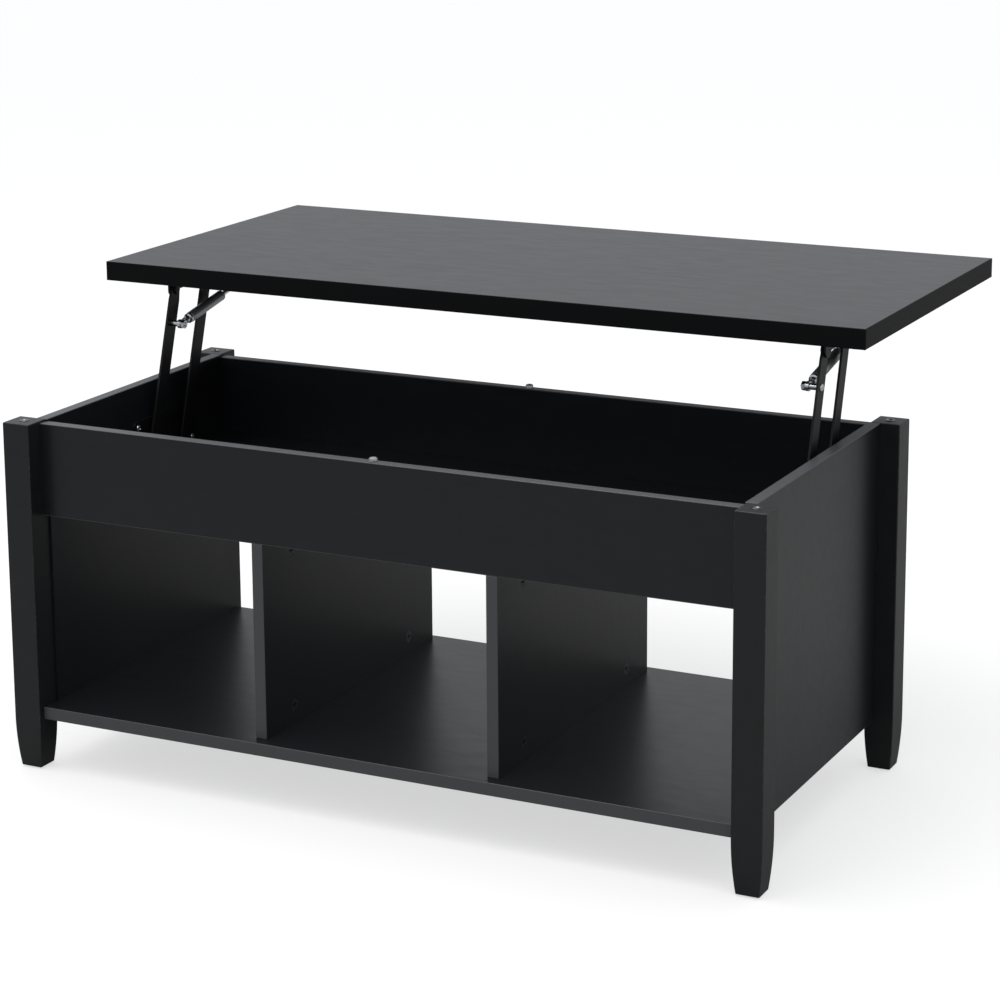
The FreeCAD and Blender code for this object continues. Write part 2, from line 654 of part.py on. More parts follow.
def rod_end_eye(side):
    """The moulded end on the rod: a round socket that flattens into the eye."""
    socket = revolved_on_strut(side, [
        (SOCKET_START - SOCKET_MOUTH, ROD_RADIUS), (SOCKET_START - SOCKET_MOUTH, NECK_RADIUS),
        (SOCKET_START + SOCKET_FLOOR, NECK_RADIUS), (SOCKET_START + SOCKET_FLOOR, 0),
        (SOCKET_START, 0), (SOCKET_START, ROD_RADIUS)])
    return eye(side, STRUT_HIGH, SOCKET_EYE_OVERLAP - ROD_SOCKET).fuse(socket).removeSplitter()


TOP_WASHER = 0.7
TOP_WASHER_RADIUS = PIN_HEAD_RADIUS + 0.5
FLANGE_IN = ARM_OUTER_X + GAP + TOP_WASHER
FLANGE_OUT = FLANGE_IN + PLATE
ROD_BOLT_HEAD_X = FLANGE_IN - GAP - BOLT_HEAD

for side_name, side in SIDES:
    save("strut_end_cap_" + side_name, strut_end_cap(side))
    save("strut_tube_" + side_name, strut_tube(side))
    save("strut_gland_" + side_name, strut_gland(side))
    save("strut_rod_" + side_name, strut_rod(side))
    save("strut_rod_eye_" + side_name, rod_end_eye(side))
    save("arm_bolt_" + side_name, strut_bolt(side, STRUT_LOW, ARM_OUTER_X))
    save("arm_bolt_sleeve_" + side_name, sleeve(side, EYE_OUTER_X + GAP, ARM_INNER_X, STRUT_LOW,
                                                SLEEVE_RADIUS, BOLT_RADIUS))
    save("arm_bolt_nut_" + side_name, strut_nut(side, STRUT_LOW))
    save("rod_bolt_" + side_name, strut_bolt(side, STRUT_HIGH, ROD_BOLT_HEAD_X))
    save("rod_bolt_nut_" + side_name, strut_nut(side, STRUT_HIGH))


# ---- the top and the brackets under it -----------------------------------
TOP_CENTRE_Y = LIFT_BACK
TOP_EDGE_BREAK = 0.8
EAR_RADIUS = 10.0
STRIP_BOTTOM = 2.0
FLANGE_WIDTH = 28.0
BRACKET_TAIL = 14.0
TOP_SCREW_INSET = 16.0
TOP_SCREW_X = FLANGE_OUT - TOP_SCREW_INSET
TOP_SCREW_OFFSETS = (28.0, 110.0, 160.0, 205.0)
TOP_SCREW_LENGTH = 16.0


def top_screw_spots():
    return [(side * TOP_SCREW_X, FRONT_TOP[0] + offset) for _, side in SIDES for offset in TOP_SCREW_OFFSETS]


def top_screw_shank(x, y):
    return cylinder_z(TOP_UNDER_Z - PLATE, TOP_UNDER_Z - PLATE + TOP_SCREW_LENGTH, SCREW_RADIUS, x, y)


def top_screw(x, y):
    ledge_z = TOP_UNDER_Z - PLATE
    head_z = ledge_z - SCREW_HEAD
    head = cylinder_z(head_z, ledge_z, SCREW_HEAD_RADIUS, x, y)
    recess = cylinder_z(head_z - PAST, head_z + SCREW_RECESS, SCREW_RECESS_RADIUS, x, y)
    return top_screw_shank(x, y).fuse(head).cut(recess)


def tabletop():
    y_front = TOP_CENTRE_Y - TOP_DEPTH / 2
    y_rear = TOP_CENTRE_Y + TOP_DEPTH / 2
    board = box(-TOP_WIDTH / 2, TOP_WIDTH / 2, y_front, y_rear, TOP_UNDER_Z, TOP_UNDER_Z + TOP_THICK)
    board = softened(board, TOP_EDGE_BREAK)
    return drilled(board, [top_screw_shank(x, y) for x, y in top_screw_spots()])


def top_bracket(side):
    """An angle: ears hang down at the two arm pivots and at the strut's end."""
    z0 = TOP_UNDER_Z - PLATE
    y_front = FRONT_TOP[0] - EAR_RADIUS
    y_rear = STRUT_HIGH[0] + BRACKET_TAIL
    strip_z = FRONT_TOP[1] - STRIP_BOTTOM
    upright = box(side * FLANGE_IN, side * FLANGE_OUT, y_front, y_rear, strip_z, TOP_UNDER_Z)
    for spot in (FRONT_TOP, REAR_TOP, STRUT_HIGH):
        upright = upright.fuse(cylinder_x(side * FLANGE_IN, side * FLANGE_OUT, EAR_RADIUS, spot))
    ledge = box(side * (FLANGE_OUT - FLANGE_WIDTH), side * FLANGE_OUT, y_front, y_rear, z0, TOP_UNDER_Z)
    angle = upright.fuse(ledge).removeSplitter()
    holes = [cylinder_x(side * (FLANGE_IN - PAST), side * (FLANGE_OUT + PAST), PIN_RADIUS, spot)
             for spot in (FRONT_TOP, REAR_TOP)]
    return drilled(angle, holes + [top_screw_shank(x, y) for x, y in top_screw_spots()])


def top_pivot_washer(side, yz):
    return sleeve(side, ARM_OUTER_X + GAP, FLANGE_IN, yz, TOP_WASHER_RADIUS, PIN_RADIUS)


save("tabletop", tabletop())
for side_name, side in SIDES:
    save("top_bracket_" + side_name, top_bracket(side))
save("top_bracket_screws", group(top_screw(x, y) for x, y in top_screw_spots()))
save("top_pivot_pins", group(pivot_pin(side, spot, FLANGE_OUT) for side, spot in TOP_PIVOTS))
save("top_pivot_washers", group(top_pivot_washer(side, spot) for side, spot in TOP_PIVOTS))
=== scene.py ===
import math

import bmesh
import bpy
from mathutils import Matrix, Vector


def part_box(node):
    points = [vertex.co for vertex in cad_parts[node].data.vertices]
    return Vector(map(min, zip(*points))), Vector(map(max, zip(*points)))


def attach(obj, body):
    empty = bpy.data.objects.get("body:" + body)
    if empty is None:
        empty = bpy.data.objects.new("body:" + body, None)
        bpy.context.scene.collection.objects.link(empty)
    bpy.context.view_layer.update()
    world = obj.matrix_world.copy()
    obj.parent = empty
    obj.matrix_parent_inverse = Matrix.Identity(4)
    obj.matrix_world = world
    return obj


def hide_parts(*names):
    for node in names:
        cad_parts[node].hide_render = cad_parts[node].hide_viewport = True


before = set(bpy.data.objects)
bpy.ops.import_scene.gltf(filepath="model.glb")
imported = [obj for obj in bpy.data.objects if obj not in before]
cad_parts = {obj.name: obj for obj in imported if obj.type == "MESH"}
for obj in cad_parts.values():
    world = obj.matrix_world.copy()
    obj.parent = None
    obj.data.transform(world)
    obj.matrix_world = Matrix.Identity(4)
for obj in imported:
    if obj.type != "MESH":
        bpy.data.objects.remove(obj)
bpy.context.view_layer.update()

# ---- Legs --------------------------------------------------------------------
# Four square posts of solid wood, sprayed satin black over filler, so that the grain only just shows.
# All four faces of each foot curve in, and the boards are dowelled into the two inner faces.
# A blind hole in the top takes the threaded insert, and one in the foot takes the glide's stem.
MM = 0.001
SIDES = (("left", -1), ("right", 1))
ENDS = (("front", -1), ("rear", 1))
SHARP_ANGLE = math.radians(38)


class Wire:
    """One socket of a finish. Sums that are written on it add the Math nodes that work them out."""

    def __init__(self, finish, socket):
        self.finish = finish
        self.socket = socket

    def worked(self, operation, first, second):
        return self.finish.node("ShaderNodeMath", {"operation": operation}, {0: first, 1: second})

    def __add__(self, other):
        return self.worked("ADD", self, other)

    def __sub__(self, other):
        return self.worked("SUBTRACT", self, other)

    def __rsub__(self, other):
        return self.worked("SUBTRACT", other, self)

    def __mul__(self, other):
        return self.worked("MULTIPLY", self, other)

    __radd__ = __add__
    __rmul__ = __mul__


class Finish:
    """A finish being mixed: one shader, and the nodes that feed it."""

    def __init__(self, holder, shader, uniform):
        self.holder = holder
        holder.use_nodes = True
        self.tree = holder.node_tree
        self.shader = self.tree.nodes[shader]
        for socket, value in uniform.items():
            self.shader.inputs[socket].default_value = value

    def connect(self, socket, value):
        if isinstance(value, Wire):
            self.tree.links.new(value.socket, socket)
        else:
            socket.default_value = value

    def node(self, kind, settings=None, inputs=None, output=0):
        """One node: its settings are set first, and then the values or wires of its sockets."""
        node = self.tree.nodes.new(kind)
        for name, value in (settings or {}).items():
            setattr(node, name, value)
        for socket, value in (inputs or {}).items():
            self.connect(node.inputs[socket], value)
        return Wire(self, node.outputs[output])

    def feed(self, socket, value):
        self.connect(self.shader.inputs[socket], value)

    def noise(self, size, detail=2.0):
        """Cloudy values round a half, in patches of the given size in millimetres along X, Y and Z."""
        place = self.node("ShaderNodeTexCoord", output="Object")
        stretch = [1 / (length * MM) for length in size]
        patches = self.node("ShaderNodeVectorMath", {"operation": "MULTIPLY"}, {0: place, 1: stretch})
        return self.node("ShaderNodeTexNoise", None, {"Vector": patches, "Detail": detail})

    def between(self, value, low, high):
        """0 below low, 1 above high, and a soft step between them."""
        settings = {"interpolation_type": "SMOOTHSTEP"}
        return self.node("ShaderNodeMapRange", settings, {"Value": value, "From Min": low, "From Max": high})

    def mixed(self, mask, first, second):
        """The first colour where the mask is 0, and the second where it is 1."""
        return self.node("ShaderNodeMix", {"data_type": "RGBA"}, {0: mask, 6: first, 7: second}, output=2)

    def colour(self, mask, first, second):
        return self.mixed(mask, (*first, 1), (*second, 1))

    def arris(self):
        """1 on the rounded edges of a piece, and 0 on its flats."""
        return self.node("ShaderNodeAttribute", {"attribute_name": "arris"}, output="Fac")

    def bump(self, height, depth, strength=1.0):
        """The normal of a surface that stands up to the given depth in millimetres proud."""
        inputs = {"Height": height, "Distance": depth * MM, "Strength": strength}
        return self.node("ShaderNodeBump", None, inputs)


def principled(name, uniform):
    return Finish(bpy.data.materials.new(name), "Principled BSDF", uniform)


def make_leg_paint():
    paint = principled("leg_paint", {"Specular IOR Level": 0.34})
    grain = paint.noise((1.6, 1.6, 70), detail=4)
    pores = paint.between(paint.noise((0.5, 0.5, 9)), 0.6, 0.75)
    mist = paint.noise((0.45, 0.45, 0.45))
    cloud = paint.noise((60, 60, 130), detail=3)
    # Lighter paint on the rounded edges, broken into patches: partly wear, and partly a painted highlight
    # where the arrises catch the light.
    wear_and_edge_highlight = paint.arris() * paint.between(paint.noise((5, 5, 16), detail=5), 0.53, 0.68)
    black = paint.colour(cloud, (0.0064, 0.0068, 0.0076), (0.01, 0.0105, 0.0116))
    paint.feed("Base Color", paint.mixed(wear_and_edge_highlight, black, (0.055, 0.052, 0.048, 1)))
    paint.feed("Roughness", 0.3 + cloud * 0.12 + mist * 0.06 + wear_and_edge_highlight * 0.15)
    paint.feed("Normal", paint.bump(grain * 0.7 + mist * 0.35 - pores * 0.3, 0.05, 0.55))
    return paint.holder


def make_piece(name, shape, body, finish, nodes=()):
    """A finished piece: smooth between its sharp edges, riding on its body, standing for its CAD nodes."""
    mesh = bpy.data.meshes.new(name)
    shape.normal_update()
    shape.to_mesh(mesh)
    shape.free()
    mesh.polygons.foreach_set("use_smooth", [True] * len(mesh.polygons))
    mesh.set_sharp_from_angle(angle=SHARP_ANGLE)
    mesh.materials.append(finish)
    piece = bpy.data.objects.new(name, mesh)
    bpy.context.scene.collection.objects.link(piece)
    even = piece.modifiers.new("even_shading", "WEIGHTED_NORMAL")
    even.keep_sharp = True
    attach(piece, body)
    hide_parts(*nodes)
    return piece


def bridged(shape, rings):
    """Walls of four-sided faces between rings of equally many points, and a cap on the first and last."""
    loops = [[shape.verts.new(point) for point in ring] for ring in rings]
    for lower, upper in zip(loops, loops[1:]):
        for i in range(len(lower)):
            j = (i + 1) % len(lower)
            shape.faces.new((lower[i], lower[j], upper[j], upper[i]))
    shape.faces.new(reversed(loops[0]))
    shape.faces.new(loops[-1])
    return loops


LEG_ARRIS = 1.3 * MM
LEG_ARRIS_STEPS = 5
LEG_HALF = 19 * MM
FOOT_HALF = 14.5 * MM
FOOT_CURVE_TOP = 70 * MM
FOOT_CURVE_STEPS = 12
FOOT_ARRIS = 0.7 * MM
STEM_RADIUS = 2.5 * MM
STEM_HOLE = 10 * MM
INSERT_RADIUS = 5 * MM
INSERT_HOLE = 12 * MM
POST_RINGS = slice(3, -3)
TOP_ARRIS_RINGS = slice(-5, -3)


def leg_shape(x, y, bottom, top):
    """A stack of rings: the stem's hole, the shaped foot, the straight post and the insert's hole."""

    def square(half, z):
        points = []
        for quarter in range(4):
            corner = Matrix.Rotation(quarter * math.pi / 2, 2) @ Vector((half - LEG_ARRIS, half - LEG_ARRIS))
            for i in range(LEG_ARRIS_STEPS + 1):
                angle = (quarter + i / LEG_ARRIS_STEPS) * math.pi / 2
                edge = corner + LEG_ARRIS * Vector((math.cos(angle), math.sin(angle)))
                points.append((x + edge.x, y + edge.y, z))
        return points

    def circle(radius, z):
        count = 4 * (LEG_ARRIS_STEPS + 1)
        angles = [(i + 0.5) * 2 * math.pi / count for i in range(count)]
        return [(x + radius * math.cos(a), y + radius * math.sin(a), z) for a in angles]

    def foot_half(z):
        reach = (FOOT_CURVE_TOP - z) / (FOOT_CURVE_TOP - bottom)
        return LEG_HALF - (LEG_HALF - FOOT_HALF) * reach ** 2

    curve_start = bottom + FOOT_ARRIS
    curve_step = (FOOT_CURVE_TOP - curve_start) / FOOT_CURVE_STEPS
    foot = foot_half(bottom)
    broken = 0.3 * FOOT_ARRIS
    rings = [circle(STEM_RADIUS, bottom + STEM_HOLE), circle(STEM_RADIUS, bottom)]
    rings += [square(foot - FOOT_ARRIS, bottom), square(foot - broken, bottom + broken)]
    for i in range(FOOT_CURVE_STEPS + 1):
        z = curve_start + curve_step * i
        rings.append(square(foot_half(z), z))
    for angle in (0, math.pi / 6, math.pi / 3, math.pi / 2):
        inset = LEG_ARRIS * (1 - math.cos(angle))
        drop = LEG_ARRIS * (1 - math.sin(angle))
        rings.append(square(LEG_HALF - inset, top - drop))
    rings += [circle(INSERT_RADIUS, top), circle(INSERT_RADIUS, top - INSERT_HOLE)]
    shape = bmesh.new()
    arris = shape.verts.layers.float.new("arris")
    loops = bridged(shape, rings)
    for loop in loops[POST_RINGS]:
        for i, vert in enumerate(loop):
            on_corner = 0 < i % (LEG_ARRIS_STEPS + 1) < LEG_ARRIS_STEPS
            vert[arris] = 1.0 if on_corner else 0.0
    for loop in loops[TOP_ARRIS_RINGS]:
        for vert in loop:
            vert[arris] = 1.0
    return shape


def middle_of(node):
    """The middle of a node's box."""
    low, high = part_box(node)
    return (low + high) / 2


leg_paint = make_leg_paint()
for end_name, _ in ENDS:
    for side_name, _ in SIDES:
        node = "leg_" + end_name + "_" + side_name
        low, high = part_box(node)
        middle = middle_of(node)
        shape = leg_shape(middle.x, middle.y, low.z, high.z)
        make_piece(node + "_post", shape, "base", leg_paint, [node])

# ---- Leg-top inserts ---------------------------------------------------------
# A zinc-plated threaded insert is pressed into the top of each leg, and its flange stands a little proud.
# It is a turned part: a rolled flange, a chamfered mouth, and a machine thread down the bore.
TURN_STEPS = 48


def turned(stations, closed=False, steps=TURN_STEPS):
    """A part turned on the Z axis from its (height, radius) outline in millimetres. Closed makes a ring."""
    shape = bmesh.new()
    loops = []
    for height, radius in stations:
        if radius == 0:
            loops.append([shape.verts.new((0, 0, height * MM))])
            continue
        loop = []
        for i in range(steps):
            angle = 2 * math.pi * i / steps
            point = (radius * MM * math.cos(angle), radius * MM * math.sin(angle), height * MM)
            loop.append(shape.verts.new(point))
        loops.append(loop)
    pairs = list(zip(loops, loops[1:]))
    if closed:
        pairs.append((loops[-1], loops[0]))
    for lower, upper in pairs:
        for i in range(steps):
            corners = []
            for loop, k in ((lower, i), (lower, i + 1), (upper, i + 1), (upper, i)):
                corner = loop[k % len(loop)]
                if corner not in corners:
                    corners.append(corner)
            shape.faces.new(corners)
    bmesh.ops.recalc_face_normals(shape, faces=shape.faces)
    return shape


def pointing(place, direction):
    """The matrix that stands a turned part at a place, with its Z axis along the direction."""
    return Matrix.Translation(place) @ Vector(direction).to_track_quat("Z", "Y").to_matrix().to_4x4()


def gathered(shapes):
    """Several loose shapes as one."""
    whole = bmesh.new()
    for shape in shapes:
        part = bpy.data.meshes.new("part")
        shape.to_mesh(part)
        shape.free()
        whole.from_mesh(part)
        bpy.data.meshes.remove(part)
    return whole


def placed(shape, matrix):
    bmesh.ops.transform(shape, matrix=matrix, verts=shape.verts)
    return shape


def make_zinc_plate(name, bright, dull_shade):
    """Plated steel: fine turning lines under the plate, and duller patches where it has been handled."""
    zinc = principled(name, {"Metallic": 1.0})
    cloud = zinc.noise((3, 3, 3), detail=4)
    lines = zinc.noise((0.25, 2.5, 2.5), detail=3)
    dull = zinc.between(zinc.noise((1.5, 1.5, 1.5), detail=5), 0.55, 0.7)
    zinc.feed("Base Color", zinc.colour(dull, bright, dull_shade))
    zinc.feed("Roughness", 0.16 + cloud * 0.14 + dull * 0.16)
    zinc.feed("Normal", zinc.bump(lines * 0.6 + cloud * 0.4, 0.012, 0.5))
    return zinc.holder


def thread(start, length, pitch, crest, root):
    """The crests and roots of a thread, as (height, radius) stations downwards from its start."""
    turns = int(length / pitch)
    stations = []
    for i in range(turns):
        stations.append((start - i * pitch, crest))
        stations.append((start - (i + 0.5) * pitch, root))
    return stations


zinc_plate = make_zinc_plate("zinc_plate", (0.62, 0.63, 0.645), (0.42, 0.43, 0.45))
aged_zinc = make_zinc_plate("aged_zinc", (0.17, 0.172, 0.178), (0.09, 0.092, 0.096))
leg_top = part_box("leg_front_left")[1].z
insert_outline = [(-12, 0), (-12, 4.5), (-11.5, 5), (0, 5), (0, 5.7), (0.15, 5.95), (0.45, 6), (0.7, 5.85),
                  (0.8, 5.6), (0.8, 3.9), (0.2, 3.3)]
insert_outline += thread(-0.2, 9.5, 1.0, 2.75, 3.2) + [(-9.9, 3.2), (-9.9, 0)]


def over_each_leg(outline, z):
    """One copy of a turned part on the centre line of each leg, at the given height."""
    shapes = []
    for side_name, _ in SIDES:
        for end_name, _ in ENDS:
            middle = middle_of("leg_" + end_name + "_" + side_name)
            shapes.append(placed(turned(outline), Matrix.Translation((middle.x, middle.y, z))))
    return gathered(shapes)


inserts = over_each_leg(insert_outline, leg_top)
make_piece("leg_top_threaded_inserts", inserts, "base", aged_zinc, ["leg_top_inserts"])

# ---- Foot glides -------------------------------------------------------------
# A round moulded glide is knocked into each foot on its stem, and lifts the wood 2 mm off the floor.
# Its rim is rounded so that it slides, and its underside is a little rough from use.


def make_black_plastic():
    plastic = principled("black_plastic", {"Specular IOR Level": 0.42})
    spark = plastic.noise((0.22, 0.22, 0.22), detail=1)
    cloud = plastic.noise((6, 6, 6), detail=3)
    plastic.feed("Base Color", plastic.colour(cloud, (0.014, 0.014, 0.015), (0.028, 0.028, 0.03)))
    plastic.feed("Roughness", 0.42 + spark * 0.16 + cloud * 0.06)
    plastic.feed("Normal", plastic.bump(spark, 0.02, 0.6))
    return plastic.holder


black_plastic = make_black_plastic()
glide_outline = [(0, 0), (0, 8.8), (0.15, 9.5), (0.5, 9.9), (0.9, 10), (1.8, 10), (2, 9.8), (2, 2.5),
                 (12, 2.5), (12, 0)]
glides = over_each_leg(glide_outline, 0)
make_piece("foot_glide_pads", glides, "base", black_plastic, ["foot_glides"])

# ---- Side panels -------------------------------------------------------------
# A 15 mm particle board with a black melamine skin stands between the two legs of each end.
# Its top and bottom edges carry a 1 mm edge band, trimmed flush and scraped to a small radius.
BAND = 1.0 * MM
BAND_ARRIS = 0.8 * MM
SEAM_ARRIS = 0.12 * MM
CORE_ARRIS = 0.12 * MM
BEVEL_ANGLE = math.radians(40)
CORE_FLAT = 4 * MM * MM
BAND_FLAT = 40 * MM * MM
SAME_PLACE = 1e-6


def make_black_laminate():
    """Pressed melamine: almost black, satin, with a fine pearl in its surface and faint wiping marks."""
    skin = principled("black_laminate", {"Specular IOR Level": 0.34})
    pearl = skin.noise((0.35, 0.35, 0.35), detail=2)
    ripple = skin.noise((14, 14, 14), detail=2)
    smear = skin.noise((190, 60, 60), detail=4)
    fleck = skin.between(skin.noise((1.1, 1.1, 1.1), detail=3), 0.68, 0.78)
    black = skin.colour(smear, (0.0056, 0.0064, 0.0082), (0.0088, 0.0098, 0.0122))
    skin.feed("Base Color", skin.mixed(fleck * 0.35, black, (0.024, 0.024, 0.026, 1)))
    skin.feed("Roughness", 0.24 + smear * 0.12 + pearl * 0.06)
    skin.feed("Normal", skin.bump(pearl * 0.7 + ripple * 1.2, 0.016, 0.5))
    return skin.holder


def make_edge_band(name, level, shade, scraped_and_highlight_colour):
    """Extruded edging: fine drawn lines along it, and rounded corners a shade greyer in patches, partly from
    the scraper and partly a painted highlight.
    """
    edging = principled(name, {"Specular IOR Level": level})
    drawn = edging.noise((0.3, 0.3, 0.3), detail=2)
    cloud = edging.noise((25, 25, 25), detail=3)
    # The greyer rounded corners are partly scraper marks and partly a painted highlight along the arris.
    scraped_and_highlight = edging.arris() * edging.between(edging.noise((9, 9, 9), detail=4), 0.35, 0.7)
    edging.feed("Base Color", edging.colour(scraped_and_highlight, shade, scraped_and_highlight_colour))
    edging.feed("Roughness", 0.36 + cloud * 0.1 + drawn * 0.06)
    edging.feed("Normal", edging.bump(drawn, 0.015, 0.4))
    return edging.holder


def is_sharp(edge):
    return len(edge.link_faces) == 2 and edge.calc_face_angle(0) > BEVEL_ANGLE


def ease(shape, edges, radius, segments):
    bmesh.ops.bevel(shape, geom=edges, offset=radius, segments=segments, profile=0.5, affect="EDGES",
                    clamp_overlap=True)


def mark_arris(shape, flat):
    """Writes 1 on the points of the rounded edges and 0 on the points of any face larger than flat."""
    arris = shape.verts.layers.float.new("arris")
    for vert in shape.verts:
        on_flat = any(face.calc_area() > flat for face in vert.link_faces)
        vert[arris] = 0.0 if on_flat else 1.0


def extruded(outline, bottom, top):
    """A slab that stands on its (x, y) outline."""
    shape = bmesh.new()
    bridged(shape, [[(x, y, z) for x, y in outline] for z in (bottom, top)])
    bmesh.ops.recalc_face_normals(shape, faces=shape.faces)
    return shape


def rectangle(low, high):
    return [(low.x, low.y), (high.x, low.y), (high.x, high.y), (low.x, high.y)]


def core(outline, bottom, top):
    """The body of a board, with the crisp arris that a saw leaves."""
    shape = extruded(outline, bottom, top)
    ease(shape, [edge for edge in shape.edges if is_sharp(edge)], CORE_ARRIS, 2)
    mark_arris(shape, CORE_FLAT)
    return shape


def edge_band(outline, bottom, top, outer_axis, outer_face):
    """A strip of edging: the edges of its outer face are rounded, and its others are only broken."""
    shape = extruded(outline, bottom, top)
    outer = []
    for edge in shape.edges:
        on_face = all(abs(vert.co[outer_axis] - outer_face) < SAME_PLACE for vert in edge.verts)
        if on_face and is_sharp(edge):
            outer.append(edge)
    ease(shape, outer, BAND_ARRIS, 4)
    ease(shape, [edge for edge in shape.edges if is_sharp(edge)], SEAM_ARRIS, 1)
    mark_arris(shape, BAND_FLAT)
    return shape


def banded_board(node, outline):
    """A standing board of the base, with edging along its top and its bottom."""
    low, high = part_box(node)
    board = core(outline, low.z + BAND, high.z - BAND)
    make_piece(node + "_board", board, "base", black_laminate, [node])
    bands = gathered([edge_band(outline, low.z, low.z + BAND, 2, low.z),
                      edge_band(outline, high.z - BAND, high.z, 2, high.z)])
    make_piece(node + "_edging", bands, "base", edging)


black_laminate = make_black_laminate()
# The base's edging is painted several times lighter than the board's skin: painted sheen where its edges
# catch the light.
edging = make_edge_band("edging_painted_sheen", 0.45, (0.05, 0.0515, 0.055), (0.09, 0.0915, 0.095))
for side_name, _ in SIDES:
    node = "side_panel_" + side_name
    banded_board(node, rectangle(*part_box(node)))

# ---- Aprons ------------------------------------------------------------------
# The deep front and rear boards of the box, dowelled between the legs and rebated round the side panels.
# They are the same black board, and their top and bottom edges are banded like the side panels'.
panel_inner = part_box("side_panel_right")[0].x
panel_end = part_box("side_panel_right")[1].y
for end_name, end in ENDS:
    node = "apron_" + end_name
    low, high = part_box(node)
    outer_y = low.y if end < 0 else high.y
    inner_y = high.y if end < 0 else low.y
    rebate_y = end * panel_end
    banded_board(node, [(low.x, outer_y), (high.x, outer_y), (high.x, rebate_y), (panel_inner, rebate_y),
                        (panel_inner, inner_y), (-panel_inner, inner_y), (-panel_inner, rebate_y),
                        (low.x, rebate_y)])

# ---- Compartment floor -------------------------------------------------------
# The board that closes the hidden compartment from below. It lies between the aprons and the side panels.
# Its edges are all hidden, so they are left as sawn, and the cam bolts are screwed into its underside.
low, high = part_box("compartment_floor")
floor_board = core(rectangle(low, high), low.z, high.z)
make_piece("compartment_floor_board", floor_board, "base", black_laminate,
           ["compartment_floor"])

# ---- Bottom shelf ------------------------------------------------------------
# The low shelf fills the width between the legs, and steps in at each end where a side panel stands.
# Its front and rear edges run almost to the faces of the legs, and carry the edge band.
low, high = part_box("bottom_shelf")
shelf_outline = []
for x_side, y_end in ((-1, -1), (1, -1), (1, 1), (-1, 1)):
    front_y = y_end * (high.y - BAND)
    step_y = y_end * panel_end
    corner = [(x_side * high.x, front_y), (x_side * high.x, step_y), (x_side * panel_inner, step_y)]
    shelf_outline += corner if x_side * y_end < 0 else reversed(corner)
shelf = core(shelf_outline, low.z, high.z)
make_piece("bottom_shelf_board", shelf, "base", black_laminate, ["bottom_shelf"])


def long_band(low, high, end):
    """The edging on the front or rear edge of a board."""
    outer = low.y if end < 0 else high.y
    strip = [(low.x, outer), (high.x, outer), (high.x, outer - end * BAND), (low.x, outer - end * BAND)]
    return edge_band(strip, low.z, high.z, 1, outer)


bands = gathered([long_band(low, high, end) for _, end in ENDS])
make_piece("bottom_shelf_edging", bands, "base", edging)

# ---- Dividers ----------------------------------------------------------------
# Two upright boards split the space under the compartment into three open cubbies.
# Cam locks in their right faces draw them to the floor and the shelf, and their front edges are banded.
CAM_RADIUS = 7.5 * MM
cam_seat_outline = [(-1, 0), (-1, 7.7), (12.3, 7.7), (12.3, 0)]


def combined(shape, tool, operation):
    """The shape cut by the tool, or joined to it."""
    objects = []
    for part in (shape, tool):
        mesh = bpy.data.meshes.new("part")
        part.to_mesh(mesh)
        part.free()
        temporary = bpy.data.objects.new("part", mesh)
        bpy.context.scene.collection.objects.link(temporary)
        objects.append(temporary)
    modifier = objects[0].modifiers.new("combined", "BOOLEAN")
    modifier.operation = operation
    modifier.solver = "EXACT"
    modifier.object = objects[1]
    evaluated = objects[0].evaluated_get(bpy.context.evaluated_depsgraph_get())
    result = bmesh.new()
    result.from_mesh(evaluated.to_mesh())
    evaluated.to_mesh_clear()
    for temporary in objects:
        mesh = temporary.data
        bpy.data.objects.remove(temporary)
        bpy.data.meshes.remove(mesh)
    return result


cams_low, cams_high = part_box("cam_locks")
cam_spots = [(y, z) for y in (cams_low.y + CAM_RADIUS, cams_high.y - CAM_RADIUS)
             for z in (cams_low.z + CAM_RADIUS, cams_high.z - CAM_RADIUS)]
for side_name, _ in SIDES:
    node = "divider_" + side_name
    low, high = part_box(node)
    banding = Vector((0, BAND, 0))
    board = extruded(rectangle(low + banding, high - banding), low.z, high.z)
    seats = gathered([placed(turned(cam_seat_outline), pointing((high.x, y, z), (-1, 0, 0)))
                      for y, z in cam_spots])
    board = combined(board, seats, "DIFFERENCE")
    ease(board, [edge for edge in board.edges if is_sharp(edge)], CORE_ARRIS, 1)
    mark_arris(board, CORE_FLAT)
    make_piece(node + "_board", board, "base", black_laminate, [node])
    bands = gathered([long_band(low, high, end) for _, end in ENDS])
    make_piece(node + "_edging", bands, "base", edging)

# ---- Cam locks, cam bolts and dowels -----------------------------------------
# The knock-down fittings: die-cast cams with a cross slot, plated bolts, and beech dowels that are glued in.
# They keep the shapes that they are designed with, and only the faces of the cams can be seen.


def make_cast_zinc():
    cast = principled("cast_zinc", {"Metallic": 1.0})
    sand = cast.noise((0.5, 0.5, 0.5), detail=3)
    tarnish = cast.between(cast.noise((4, 4, 4), detail=4), 0.4, 0.65)
    cast.feed("Base Color", cast.colour(tarnish, (0.13, 0.13, 0.135), (0.07, 0.07, 0.075)))
    cast.feed("Roughness", 0.36 + sand * 0.12 + tarnish * 0.12)
    cast.feed("Normal", cast.bump(sand, 0.04, 0.6))
    return cast.holder


def make_beech():
    beech = principled("beech", {"Specular IOR Level": 0.3})
    rings = beech.noise((30, 1.4, 1.4), detail=3)
    flecks = beech.between(beech.noise((3, 0.4, 0.4)), 0.6, 0.7)
    beech.feed("Base Color", beech.colour(rings, (0.45, 0.29, 0.15), (0.62, 0.44, 0.26)))
    beech.feed("Roughness", 0.6 + rings * 0.15)
    beech.feed("Normal", beech.bump(rings - flecks * 0.4, 0.06, 0.6))
    return beech.holder


def refinish(node, finish):
    """Gives a CAD node that keeps its shape its finish."""
    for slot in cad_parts[node].material_slots:
        slot.material = finish


